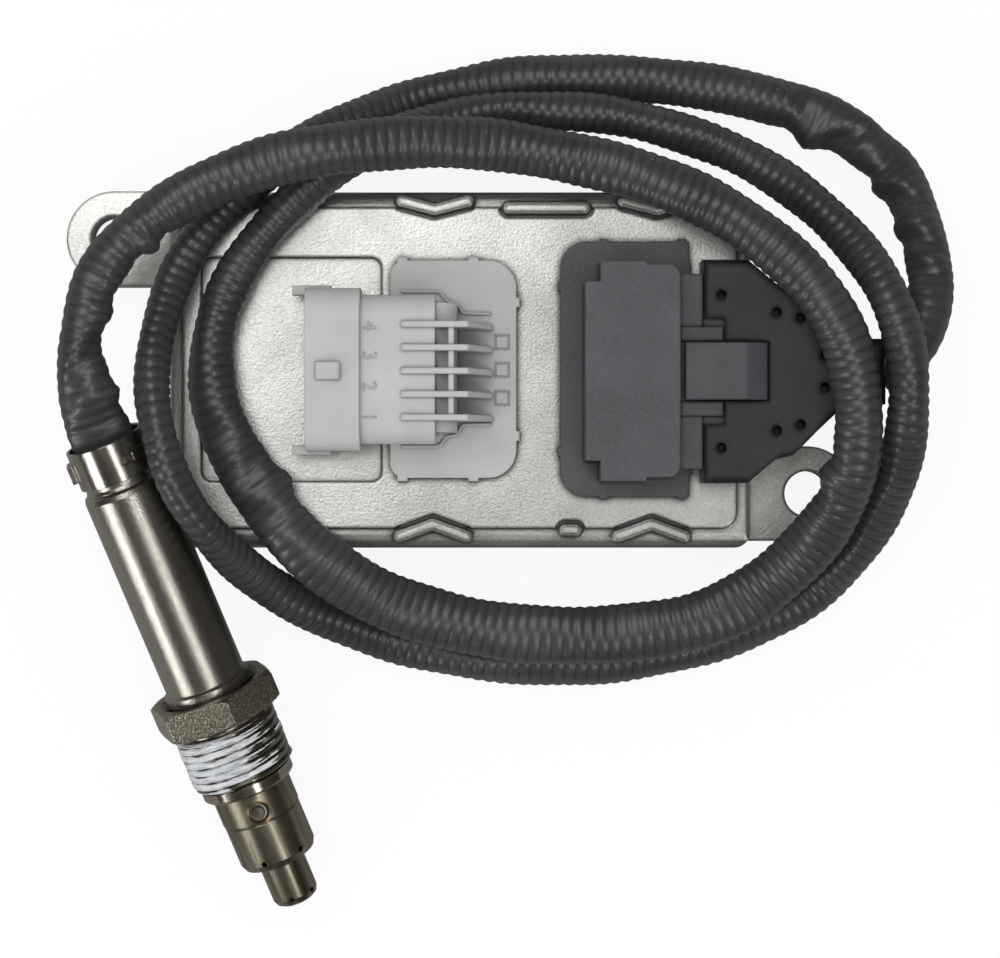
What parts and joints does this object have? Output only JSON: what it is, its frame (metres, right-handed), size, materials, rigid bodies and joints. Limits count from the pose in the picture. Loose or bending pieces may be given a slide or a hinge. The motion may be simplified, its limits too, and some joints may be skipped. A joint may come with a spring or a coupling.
{
  "type": "nitrogen oxide sensor",
  "caption": "Exhaust nitrogen oxide sensor: cast control unit, plug and probe joined by a looped corrugated cable.",
  "frame": {"origin": "midpoint between the two fixing holes, on the plane that the housing is screwed to", "axes": "+X along the housing towards the sensor plug, +Y across it, +Z away from the mounting plane"},
  "size_m": [0.1686, 0.1636, 0.038],
  "materials": {
    "cast_aluminium": "die-cast, lightly grained",
    "plate_aluminium": "rolled sheet",
    "seal_rubber": "matt",
    "board": "solder resist",
    "screw_steel": "zinc plated",
    "chip_black": "moulded epoxy",
    "can_aluminium": "drawn can",
    "grey_pbt": "moulded glass-filled polyester",
    "tinned_pins": "tinned",
    "black_pbt": "moulded glass-filled polyester",
    "plug_pbt": "moulded glass-filled polyester",
    "sleeve": "corrugated, rubber coated",
    "crimp_steel": "stamped stainless",
    "shell_steel": "polished stainless",
    "ceramic_white": "fired, unglazed",
    "talc": "pressed powder",
    "core_steel": "turned stainless",
    "nut_steel": "cold formed",
    "heated_steel": "heat tinted stainless"
  },
  "bodies": {
    "sensor": {"housing": "cast_aluminium", "base_plate": "plate_aluminium", "housing_seal": "seal_rubber", "circuit_board": "board", "board_screws": "screw_steel", "microcontroller": "chip_black", "driver_chip": "chip_black", "capacitors": "can_aluminium", "vehicle_connector": "grey_pbt", "vehicle_pins": "tinned_pins", "connector_seal": "seal_rubber", "sensor_header": "black_pbt", "header_pins": "tinned_pins", "header_seal": "seal_rubber", "plug_body": "plug_pbt", "plug_cover": "plug_pbt", "sensor_cable": "sleeve", "crimp_ring": "crimp_steel", "wire_grommet": "seal_rubber", "probe_shell": "shell_steel", "contact_holder": "ceramic_white", "rear_bush": "ceramic_white", "talc_packing": "talc", "front_bush": "ceramic_white", "sensing_element": "ceramic_white", "probe_body": "core_steel", "outer_shield": "heated_steel", "inner_shield": "heated_steel"},
    "fitting_nut": {"fitting_nut": "nut_steel"}
  },
  "joints": [
    {"name": "nut_turn", "type": "hinge", "parent": "sensor", "child": "fitting_nut", "pos_m": [-0.04424, -0.06932, 0.01382], "axis": [0.355, -0.9057, -0.2317], "continuous": true}
  ]
}
